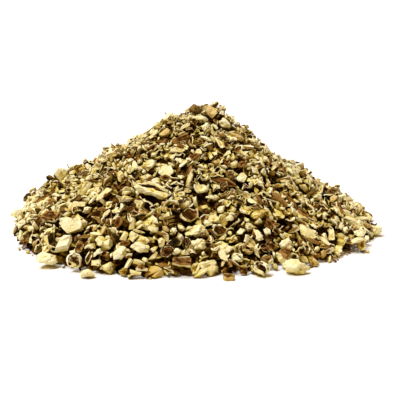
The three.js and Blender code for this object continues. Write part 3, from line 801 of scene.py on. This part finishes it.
def dropChip(heights, i, j, form, half, normal, tilt, tries):
    rows, columns = windowAt(i, j, float(np.linalg.norm(half)))
    offsetX = gridX[rows, columns] - gridX[i, j]
    offsetY = gridY[rows, columns] - gridY[i, j]
    ground = heights[rows, columns]
    best = None
    for _ in range(tries):
        lean = rng.normal(0, math.tan(math.radians(tilt)) * 0.7, 2)  # two ways, which come to the tilt
        turn = turnOnto(normal + np.array([lean[0], lean[1], 0]), rng.uniform(0, 2 * math.pi))
        if rng.random() < 0.5:
            turn[:, 1:] *= -1  # the other side up
        under, over = surfacesOf(form, half, turn, offsetX, offsetY)
        covered = under < over
        if covered.sum() < 2:
            continue
        contact = (ground - under)[covered]
        pressed = int(len(contact) * pour["sinkShare"])
        lift = np.partition(contact, len(contact) - 1 - pressed)[len(contact) - 1 - pressed]
        lift = max(lift, -float(under[covered].min()))
        room = float((lift + under - ground)[covered].mean())
        if best is None or room < best[0]:
            best = (room, turn, lift, covered, lift + over)
    if best is None:
        return None
    return {"turn": best[1], "lift": best[2], "covered": best[3], "over": best[4],
            "rows": rows, "columns": columns}


def drawFrom(mix, share, sizeFactor, barkier):
    weights = np.array([row[2] * (1 - share) + row[3] * share for row in mix])
    weights *= np.exp([barkier * pour["patchShare"] * (1 if "bark" in row[1] else -1) / 2 for row in mix])
    kind, stuff, _, _, lengths, widths, thicknesses = mix[rng.choice(len(mix), p=weights / weights.sum())]
    length = (lengths[0] + (lengths[1] - lengths[0]) * rng.random() ** pour["smallBias"]) * sizeFactor
    half = np.array([1, rng.uniform(*widths), rng.uniform(*thicknesses)]) * length / 2
    choice = forms[kind, length > largeFrom]
    return choice[rng.integers(len(choice))], stuff, half


def pourLayer(heights, target, blocked, mix, settings, chips):
    for _ in range(settings["rounds"]):
        waiting = np.argwhere(target > heights + settings["least"])
        rng.shuffle(waiting)
        tired = np.zeros((gridSize, gridSize), bool)
        for i, j in waiting:
            if tired[i, j] or target[i, j] - heights[i, j] < settings["least"]:
                continue
            share = min(1.0, math.hypot(gridX[i, j], gridY[i, j]) / pour["footRadius"])
            if rng.random() > 1 - share * settings["sparseAtFoot"]:
                tired[i, j] = True
                continue
            factor = pour["sizeAtTop"] + (pour["sizeAtFoot"] - pour["sizeAtTop"]) * share ** pour["sizeCurve"]
            form, stuff, half = drawFrom(mix, share, factor, patches[i, j])
            slope = np.array([-slopeX[i, j], -slopeY[i, j], 1.0])
            found = dropChip(heights, i, j, form, half, slope, settings["tilt"], settings["tries"])
            accepted = False
            if found is not None:
                window = (found["rows"], found["columns"])
                covered = found["covered"]
                proud = (found["over"] - target[window])[covered]
                accepted = (blocked[window][covered].mean() <= settings["overlap"]
                            and proud.mean() <= settings["proud"])
            if not accepted:
                reach = int(settings["rest"] / cell)
                tired[max(i - reach, 0):i + reach + 1, max(j - reach, 0):j + reach + 1] = True
                continue
            heights[window] = np.where(covered, np.maximum(heights[window], found["over"]), heights[window])
            place = np.array([gridX[i, j], gridY[i, j], found["lift"]])
            chips.append({"form": form, "stuff": stuff, "half": half, "turn": found["turn"], "place": place,
                          "tone": rng.uniform(0, 1)})
    print("poured", len(chips), "chips so far")


leastFit = 0.7  # a form that is bulkier than its node's solid is made smaller, but not by more than this
looseChips = {}
for node, look in looseLooks.items():
    chip = chipFrame(node, look.get("front"), look.get("depth", 1))
    form = looseForm(node, look, chip)
    filled = volumeOf(form["points"] * chip["half"], form["triangles"])
    fitted = chip["half"] * min(1.0, max(leastFit, (chip["volume"] / filled) ** (1 / 3)))
    half = fitted * look.get("size", 1)
    place = chip["place"] - np.array([0, 0, (fitted - half).max()])  # lower, so that a smaller one rests too
    looseChips[node] = {"form": form, "half": half, "turn": chip["turn"], "place": place,
                        "stuff": stuffOf[node], "tone": look["tone"]}
missing = set(frame["nodes"]) - set(looseLooks) - {"packed_heap"}
print("loose chips formed:", len(looseChips), "missing:", sorted(missing))

farAbove = 1e3  # stands for no loose chip
looseUnder = np.full((gridSize, gridSize), farAbove)  # the lowest and the highest that loose chips reach
looseOver = np.zeros((gridSize, gridSize))
plainReach = np.linalg.norm(reachDirections, axis=1) ** 0.35  # of a shape between a ball and a box
for chip in looseChips.values():
    place = chip["place"]
    i, j = ((place[:2] + heapGrid["half"]) / cell).astype(int)
    rows, columns = windowAt(i, j, float(np.linalg.norm(chip["half"])) + 1)
    under, over = surfacesOf({"reach": plainReach}, chip["half"], chip["turn"],
                             gridX[rows, columns] - place[0], gridY[rows, columns] - place[1])
    covered = under < over
    looseUnder[rows, columns] = np.where(covered, np.minimum(looseUnder[rows, columns], under + place[2]),
                                         looseUnder[rows, columns])
    looseOver[rows, columns] = np.where(covered, np.maximum(looseOver[rows, columns], over + place[2]),
                                        looseOver[rows, columns])
underLoose = looseUnder < farAbove
nowhere = np.zeros((gridSize, gridSize), bool)

chips = []
heights = np.maximum(surface - heapGrid["coreDepth"], 0)
patches = blurred(rng.normal(0, 1, (gridSize, gridSize)), pour["patchSize"])
patches /= patches.std()
uneven = blurred(rng.normal(0, 1, (gridSize, gridSize)), pour["humpSize"])
uneven *= pour["humpHeight"] / uneven.std()
peak = np.unravel_index(surface.argmax(), surface.shape)
fromPeak = np.hypot(gridX - gridX[peak], gridY - gridY[peak])
uneven -= pour["apexSunk"] * np.exp(-(fromPeak / pour["apexRadius"]) ** 2)
uneven = np.where(onHeap, uneven, -pour["clearOfFoot"])
deepTarget = np.minimum(surface - deepLayer["sunk"], looseUnder - deepLayer["underLoose"])
pourLayer(heights, deepTarget, nowhere, chipMix, deepLayer, chips)
heights = np.maximum(heights, looseOver)
pourLayer(heights, surface - outerLayer["sunk"] + uneven, underLoose, chipMix, outerLayer, chips)
pourLayer(heights, surface - crumbLayer["sunk"] + uneven, underLoose, crumbMix, crumbLayer, chips)

# Thin dark rootlets that stick out of the slope here and there
rootlets = {
    "count": 40,
    "places": (0.1, 0.85),  # how far out they are, as a share of the way to the foot
    "length": (5, 8),
    "thin": (0.05, 0.09),  # width and thickness, as shares of the length
    "lean": 0.55,
    "buried": 0.55,  # share of the length that is in the heap
}
for _ in range(rootlets["count"]):
    share, angle = rng.uniform(*rootlets["places"]), rng.uniform(0, 2 * math.pi)
    x, y = (share * pour["footRadius"] * turned for turned in (math.cos(angle), math.sin(angle)))
    i, j = (int((value + heapGrid["half"]) / cell) for value in (x, y))
    out = np.array([-slopeX[i, j], -slopeY[i, j], 1.0])
    out = out / np.linalg.norm(out) + rng.normal(0, rootlets["lean"], 3)
    out /= np.linalg.norm(out)
    half = rng.uniform(*rootlets["length"]) / 2
    turn = turnOnto(np.cross(out, (0.3, 0.4, 0.5)), 0)  # any turn will do, as a rootlet is nearly round
    turn[:, 0] = out
    turn[:, 1] = np.cross(turn[:, 2], out)
    place = np.array([x, y, heights[i, j]]) + out * half * (1 - 2 * rootlets["buried"])
    form = forms["stick", True][rng.integers(len(forms["stick", True]))]
    half = half * np.array([1, *rng.uniform(*rootlets["thin"], 2)])
    chips.append({"form": form, "stuff": "dark_bark", "half": half, "turn": turn, "place": place,
                  "tone": rng.uniform(0, 1)})

for chip in chips + list(looseChips.values()):  # none reaches under the floor
    low = float(((chip["form"]["points"] * chip["half"]) @ chip["turn"].T)[:, 2].min()) + chip["place"][2]
    chip["place"] = chip["place"] - np.array([0, 0, min(low, 0)])


# The chips become meshes, joined by material and by side of the heap

sharpAngle = math.radians(38)  # edges sharper than this stay crisp


def finishedPiece(name, mesh, material, nodes):
    mesh.materials.append(material)
    piece = bpy.data.objects.new(name, mesh)
    bpy.context.scene.collection.objects.link(piece)
    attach(piece, "root")
    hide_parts(*nodes)
    return piece


aroundChips = blurred(np.maximum(heights, looseOver), heapGrid["chipSoften"])


def depthAt(points):  # how far each point lies under the chips around it
    i, j = np.clip(((points[:, :2] + heapGrid["half"]) / cell).astype(int), 0, gridSize - 1).T
    return aroundChips[i, j] - points[:, 2]


def quarterOf(place):
    return ("front" if place[1] < 0 else "back") + ("_left" if place[0] < 0 else "_right")


patternApart = 400  # millimetres that a tone of 1 shifts a chip's pattern by, so that no two are alike


def meshOfChips(name, members, depthShare=1.0):  # copies each chip's form into one mesh, with its layers
    points, triangles, places, tones, skins, edges = [], [], [], [], [], []
    start = 0
    for chip in members:
        inside = chip["form"]["points"] * chip["half"]
        points.append(inside @ chip["turn"].T + chip["place"])
        triangles.append(chip["form"]["triangles"] + start)
        places.append(inside + patternApart * chip["tone"])
        tones.append(np.full(len(inside), chip["tone"]))
        skins.append(chip["form"]["skin"])
        edges.append(chip["form"]["edge"])
        start += len(inside)
    mesh = bpy.data.meshes.new(name)
    mesh.from_pydata(np.concatenate(points) * mm, [], np.concatenate(triangles))
    mesh.shade_smooth()
    mesh.set_sharp_from_angle(angle=sharpAngle)
    # depth under the chips around, which the finishes turn into dust and painted shade
    depths = depthAt(np.concatenate(points)) * depthShare
    for layer, kind, field, values in (
            ("chipPlace", "FLOAT_VECTOR", "vector", places),
            ("chipTone", "FLOAT", "value", tones),
            ("chipSkin", "FLOAT", "value", skins),
            ("chipEdge", "FLOAT", "value", edges),
            ("chipDepth", "FLOAT", "value", [depths])):
        data = np.concatenate(values).astype(np.float32).ravel()
        mesh.attributes.new(layer, kind, "POINT").data.foreach_set(field, data)
    mesh.update()
    return mesh


# Finishes. Patterns run along each chip's own length, and sizes are in millimetres.

def makeFinish(name, look):
    material, tree = newMaterial(name)
    place, tone, skin, depth, edge = (
        addNode(tree, "ShaderNodeAttribute", {"attribute_name": layer}).outputs[output]
        for layer, output in (("chipPlace", "Vector"), ("chipTone", "Fac"), ("chipSkin", "Fac"),
                              ("chipDepth", "Fac"), ("chipEdge", "Fac")))
    # Pith: mottled and fibrous, with painted highlight on its edges and painted shade in its hollows
    mottle = addNode(tree, "ShaderNodeTexNoise", {"Scale": 1 / look["mottleSize"], "Detail": 3.0},
                     {"Vector": place}).outputs["Fac"]
    drawn = addNode(tree, "ShaderNodeVectorMath", {"operation": "MULTIPLY", 1: look["stretch"]}, {0: place})
    fibre = addNode(tree, "ShaderNodeTexNoise", {"Scale": 1 / look["fibreWidth"], "Detail": 2.0},
                    {"Vector": drawn.outputs[0]}).outputs["Fac"]
    # painted highlight where the form stands out, painted shade in its hollows
    edgeLightShade = addNode(tree, "ShaderNodeMath", {"operation": "MULTIPLY", 1: look["edgeLightShadeShare"]}, {0: edge})
    byTone = addNode(tree, "ShaderNodeMath", {"operation": "MULTIPLY_ADD", 1: look["toneShare"]},
                     {0: tone, 2: edgeLightShade.outputs[0]})
    byMottle = addNode(tree, "ShaderNodeMath", {"operation": "MULTIPLY_ADD", 1: look["mottleShare"]},
                       {0: mottle, 2: byTone.outputs[0]})
    value = addNode(tree, "ShaderNodeMath", {"operation": "MULTIPLY_ADD", 1: look["fibreShare"]},
                    {0: fibre, 2: byMottle.outputs[0]}).outputs[0]
    pith = addNode(tree, "ShaderNodeValToRGB", {"stops": look["pith"]}, {"Fac": value}).outputs["Color"]
    # Bark: wrinkled lengthwise, with painted highlight on its edges and painted shade in its hollows
    ridged = addNode(tree, "ShaderNodeVectorMath", {"operation": "MULTIPLY", 1: look["ridgeStretch"]},
                     {0: place})
    ridges = addNode(tree, "ShaderNodeTexNoise", {"Scale": 1 / look["ridgeWidth"], "Detail": 2.0},
                     {"Vector": ridged.outputs[0]}).outputs["Fac"]
    barkByTone = addNode(tree, "ShaderNodeMath", {"operation": "MULTIPLY_ADD", 1: look["barkToneShare"]},
                         {0: tone, 2: edgeLightShade.outputs[0]})
    barkValue = addNode(tree, "ShaderNodeMath", {"operation": "MULTIPLY_ADD", 1: look["ridgeShare"]},
                        {0: ridges, 2: barkByTone.outputs[0]}).outputs[0]
    bark = addNode(tree, "ShaderNodeValToRGB", {"stops": look["bark"]}, {"Fac": barkValue}).outputs["Color"]
    # Bark covers the skin, and stays in the creases of what is bare, with a ragged edge
    inCrease = addNode(tree, "ShaderNodeMath", {"operation": "MULTIPLY_ADD", 1: -look["creaseShare"]},
                       {0: edge, 2: skin})
    ragged = addNode(tree, "ShaderNodeMath", {"operation": "MULTIPLY_ADD", 1: look["skinRagged"]},
                     {0: mottle, 2: inCrease.outputs[0]}).outputs[0]
    covered = addNode(tree, "ShaderNodeMapRange", {
        "interpolation_type": "SMOOTHSTEP", "From Min": look["skinFrom"],
        "From Max": look["skinFrom"] + look["skinSoft"],
    }, {"Value": ragged}).outputs["Result"]
    colour = addNode(tree, "ShaderNodeMix", {"data_type": "RGBA"}, {"Factor": covered, 6: pith, 7: bark})
    # The deeper a chip lies under the chips around it, the darker and browner it gets: partly brown dust,
    # partly painted shade where those chips would shade it
    sunk = addNode(tree, "ShaderNodeMapRange", {
        "From Min": look["dustAndShadeFrom"], "From Max": look["dustAndShadeFrom"] + look["dustAndShadeOver"],
    }, {"Value": depth}).outputs["Result"]
    dustAndShade = addNode(tree, "ShaderNodeValToRGB", {"stops": look["dustAndShade"]}, {"Fac": sunk}).outputs["Color"]
    dustedAndShaded = addNode(tree, "ShaderNodeMix", {"data_type": "RGBA", "blend_type": "MULTIPLY", "Factor": 1.0},
                    {6: colour.outputs[2], 7: dustAndShade})
    grain = addNode(tree, "ShaderNodeMix", None, {"Factor": covered, 2: fibre, 3: ridges})
    relief = addNode(tree, "ShaderNodeMath", {"operation": "ADD"}, {0: mottle, 1: grain.outputs[0]})
    bump = addNode(tree, "ShaderNodeBump", {"Strength": 1.0, "Distance": look["relief"] * mm},
                   {"Height": relief.outputs[0]})
    shader = addNode(tree, "ShaderNodeBsdfPrincipled", {
        "Roughness": look["roughness"], "Specular IOR Level": look["gloss"],
        "Subsurface Weight": look["glow"], "Subsurface Radius": look["glowReach"], "Subsurface Scale": mm,
    }, {"Base Color": dustedAndShaded.outputs[2], "Normal": bump.outputs["Normal"]})
    addNode(tree, "ShaderNodeOutputMaterial", None, {"Surface": shader.outputs["BSDF"]})
    return material


driedRoot = {
    "mottleSize": 1.2,
    "fibreWidth": 0.4,  # real fibres are about 0.1 mm wide, too fine to show
    "stretch": (0.3, 1, 1),  # draws the fibres out along the chip
    "ridgeWidth": 0.7,  # the bark's wrinkles
    "ridgeStretch": (0.14, 1, 1),
    # How much each of these makes of the pith's colour, and of the bark's; the edge share paints highlight on
    # edges and shade in hollows
    "toneShare": 0.42, "mottleShare": 0.85, "fibreShare": 0.6, "edgeLightShadeShare": 0.8,
    "barkToneShare": 0.25, "ridgeShare": 1.1,
    # From where bark covers the pith, how soft its border is, how ragged it is, and how much lies in creases
    "skinFrom": 0.78, "skinSoft": 0.12, "skinRagged": 0.7, "creaseShare": 0.5,
    "bark": [(0.4, "1A0E01"), (0.62, "44290D"), (0.8, "6B451C"), (1.0, "9E773F")],
    # The tint of dust and painted shade, by depth under the chips around: it starts at the first of its two
    # depths, and is full the second depth further down
    "dustAndShade": [(0, "FFFFFF"), (0.4, "E8DE9C"), (0.65, "B29A56"), (1, "634712")],
    "dustAndShadeFrom": -1.2, "dustAndShadeOver": 3.8,
    "relief": 0.4,  # height of the fine grain
    "roughness": 0.85, "gloss": 0.04,
    "glow": 0.0, "glowReach": (1.0, 0.45, 0.15),  # light that soaks into pith, and how far, red the furthest
}
finishes = {
    # Pale inner root, cut and dried: dull, chalky cream, mottled with ochre, brown where bark is left on it
    "pale_pith": makeFinish("driedPalePith", driedRoot | {
        "pith": [(0.46, "5A4210"), (0.62, "AE8E3E"), (0.8, "DAC672"), (0.98, "F6EFC4")], "glow": 0.12}),
    # Older heart of the root, dried: dull ochre, fibrous
    "tan_pith": makeFinish("driedTanPith", driedRoot | {
        "pith": [(0.48, "5A420F"), (0.75, "A68840"), (1.0, "DAC07E")], "glow": 0.1}),
    # Bark, dried: dull, with a wrinkled brown face, and pale pith where it was cut
    "brown_bark": makeFinish("driedRootBark", driedRoot | {
        "skinFrom": 0.54, "pith": [(0.5, "70521C"), (0.74, "C4A85C"), (1.0, "F0E6B2")]}),
    # Old bark and rootlets, dried: nearly black, with brown only where they were cut
    "dark_bark": makeFinish("blackenedRootBark", driedRoot | {
        "skinFrom": 0.5,
        "pith": [(0.5, "221706"), (0.75, "4E3A14"), (1.0, "866A34")],
        "bark": [(0.42, "0C0803"), (0.65, "221809"), (0.95, "403012")]}),
}


# The core: the deep chips and fines that only show as dark gaps, as one closed mass

heapCore = {
    "steps": 64,  # how finely it is divided each way
    "bumps": 1.2, "bumpSize": 4.5,  # height and size of its unevenness
    "grainSize": 2.2, "grainRelief": 1.0,
    "colours": [(0.0, "0E0A03"), (0.5, "1C1406"), (1.0, "4A3816")],
    "roughness": 0.9, "gloss": 0.2,
}


def makeCore(look):
    bm = bmesh.new()
    bmesh.ops.create_grid(bm, x_segments=look["steps"], y_segments=look["steps"],
                          size=heapGrid["half"] - cell)
    core = surface - heapGrid["coreDepth"]
    for vert in bm.verts:
        i, j = (int((vert.co[axis] + heapGrid["half"]) / cell) for axis in (0, 1))
        vert.co.z = core[i, j] + look["bumps"] * noise.noise(vert.co / look["bumpSize"])
    cutAway(bm, Vector((0, 0, 0)), Vector((0, 0, -1)))
    bmesh.ops.triangulate(bm, faces=bm.faces)
    bmesh.ops.recalc_face_normals(bm, faces=bm.faces)
    bmesh.ops.scale(bm, vec=(mm, mm, mm), verts=bm.verts)
    mesh = bpy.data.meshes.new("deep_root_fines")
    bm.to_mesh(mesh)
    bm.free()
    # Root dust and crumbs, packed: dark, as no light gets to them, dull and grainy
    material, tree = newMaterial("rootFinesInShade")
    where = addNode(tree, "ShaderNodeTexCoord").outputs["Object"]
    grains = addNode(tree, "ShaderNodeTexVoronoi", {"Scale": 1 / (look["grainSize"] * mm)}, {"Vector": where})
    colour = addNode(tree, "ShaderNodeValToRGB", {"stops": look["colours"]}, {"Fac": grains.outputs["Color"]})
    bump = addNode(tree, "ShaderNodeBump", {
        "Strength": 1.0, "Distance": look["grainRelief"] * mm, "invert": True,
    }, {"Height": grains.outputs["Distance"]})
    shader = addNode(tree, "ShaderNodeBsdfPrincipled", {
        "Roughness": look["roughness"], "Specular IOR Level": look["gloss"],
    }, {"Base Color": colour.outputs["Color"], "Normal": bump.outputs["Normal"]})
    addNode(tree, "ShaderNodeOutputMaterial", None, {"Surface": shader.outputs["BSDF"]})
    piece = finishedPiece("deep_root_fines", mesh, material, ["packed_heap"])
    print(piece.name, len(mesh.polygons), "triangles")


makeCore(heapCore)

for stuff in finishes:
    for quarter in ("front_left", "front_right", "back_left", "back_right"):
        members = [chip for chip in chips if chip["stuff"] == stuff and quarterOf(chip["place"]) == quarter]
        name = f"{quarter}_{stuff}_chips"
        mesh = meshOfChips(name, members)
        finishedPiece(name, mesh, finishes[stuff], ["packed_heap"])
        print(name, len(members), "chips", len(mesh.polygons), "triangles")

looseDustAndShade = 0.5  # the loose chips lie higher, and get less of the dust and painted shade
for node, chip in looseChips.items():
    mesh = meshOfChips("dressed_" + node, [chip], looseDustAndShade)
    finishedPiece("dressed_" + node, mesh, finishes[chip["stuff"]], [node])
print("loose chips dressed")
